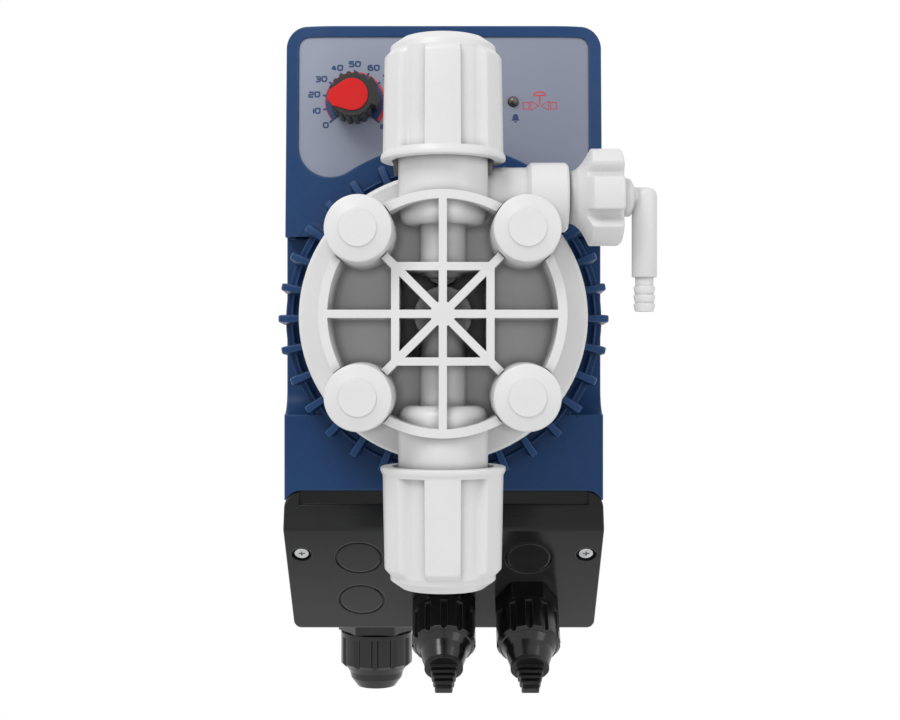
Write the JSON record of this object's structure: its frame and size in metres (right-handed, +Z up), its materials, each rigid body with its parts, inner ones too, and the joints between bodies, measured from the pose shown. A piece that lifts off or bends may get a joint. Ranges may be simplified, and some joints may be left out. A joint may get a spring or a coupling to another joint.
{
  "type": "diaphragm metering pump",
  "caption": "Wall-hung solenoid diaphragm dosing pump: blue finned case with a stroke dial, white ribbed liquid head, union nuts, bleed valve and black gland box.",
  "frame": {"origin": "centre of the wall bracket's four screws, on the wall plane", "axes": "+X right seen from the front, +Y into the wall, +Z up"},
  "size_m": [0.1201, 0.1946, 0.2364],
  "materials": {
    "blue_plastic": "satin moulded",
    "black_plastic": "glossy moulded",
    "white_plastic": "satin moulded",
    "panel_film": "printed film",
    "red_plastic": "satin moulded",
    "lens": "clear dark lens",
    "board": "coated board",
    "steel": "machined",
    "bronze": "sintered",
    "copper": "enamelled wire",
    "rubber": "matt",
    "ball_glass": "polished"
  },
  "bodies": {
    "pump": {"backing_flange": "black_plastic", "case_screw_1": "steel", "case_screw_2": "steel", "case_screw_3": "steel", "case_screw_4": "steel", "coil_bobbin": "black_plastic", "coil_winding": "copper", "control_board": "board", "diaphragm": "rubber", "discharge_hose_nipple": "white_plastic", "discharge_union_nut": "white_plastic", "discharge_valve_cage": "white_plastic", "discharge_valve_seat": "white_plastic", "finned_drum": "blue_plastic", "fixed_core": "steel", "front_housing": "blue_plastic", "guide_bush": "bronze", "head_screw_1": "steel", "head_screw_2": "steel", "head_screw_3": "steel", "head_screw_4": "steel", "led_lens": "lens", "panel_overlay": "panel_film", "potentiometer": "black_plastic", "power_gland_body": "black_plastic", "power_gland_nut": "black_plastic", "power_gland_seal": "rubber", "pump_head": "white_plastic", "rear_cover": "blue_plastic", "return_spring": "steel", "screw_cap_1": "white_plastic", "screw_cap_2": "white_plastic", "screw_cap_3": "white_plastic", "screw_cap_4": "white_plastic", "signal_gland_body_middle": "black_plastic", "signal_gland_body_right": "black_plastic", "signal_gland_nut_middle": "black_plastic", "signal_gland_nut_right": "black_plastic", "signal_gland_plug_middle": "black_plastic", "signal_gland_plug_right": "black_plastic", "solenoid_yoke": "steel", "suction_hose_nipple": "white_plastic", "suction_union_nut": "white_plastic", "suction_valve_cage": "white_plastic", "suction_valve_seat": "white_plastic", "terminal_box": "black_plastic", "terminal_screw_left": "steel", "terminal_screw_right": "steel", "wall_bracket": "black_plastic"},
    "stroke_dial": {"stroke_knob": "black_plastic", "knob_pointer": "red_plastic", "knob_shaft": "steel"},
    "drive_rod": {"plunger": "steel", "push_rod": "steel", "diaphragm_insert": "steel"},
    "discharge_check": {"discharge_ball": "ball_glass"},
    "suction_check": {"suction_ball": "ball_glass"},
    "bleed_stem": {"bleed_stem": "white_plastic"},
    "bleed_knob": {"bleed_knob": "white_plastic"},
    "bleed_elbow": {"bleed_elbow": "white_plastic"}
  },
  "joints": [
    {"name": "stroke_dial_turn", "type": "hinge", "parent": "pump", "child": "stroke_dial", "pos_m": [-0.0301, -0.128, 0.0787], "axis": [0, 1, 0], "range_deg": [-31, 229]},
    {"name": "drive_stroke", "type": "slide", "parent": "pump", "child": "drive_rod", "axis": [0, -1, 0], "range_m": [0, 0.00125], "stiffness_N_per_m": 3000, "springref_m": -0.01, "deforming": ["return_spring", "diaphragm"]},
    {"name": "discharge_ball_lift", "type": "slide", "parent": "pump", "child": "discharge_check", "axis": [0, 0, 1], "range_m": [0, 0.0015]},
    {"name": "suction_ball_lift", "type": "slide", "parent": "pump", "child": "suction_check", "axis": [0, 0, 1], "range_m": [0, 0.0015]},
    {"name": "bleed_stem_lift", "type": "slide", "parent": "pump", "child": "bleed_stem", "axis": [1, 0, 0], "range_m": [0, 0.00125]},
    {"name": "bleed_knob_turn", "type": "hinge", "parent": "bleed_stem", "child": "bleed_knob", "pos_m": [0.05, -0.162, 0.0416], "axis": [1, 0, 0], "range_deg": [0, 360]},
    {"name": "bleed_elbow_swivel", "type": "hinge", "parent": "bleed_stem", "child": "bleed_elbow", "pos_m": [0.0571, -0.162, 0.0416], "axis": [1, 0, 0], "range_deg": [-90, 90]}
  ],
  "couplings": [
    {"joint": "bleed_knob_turn", "follows": "bleed_stem_lift", "rad_per_m": 5026.5}
  ]
}
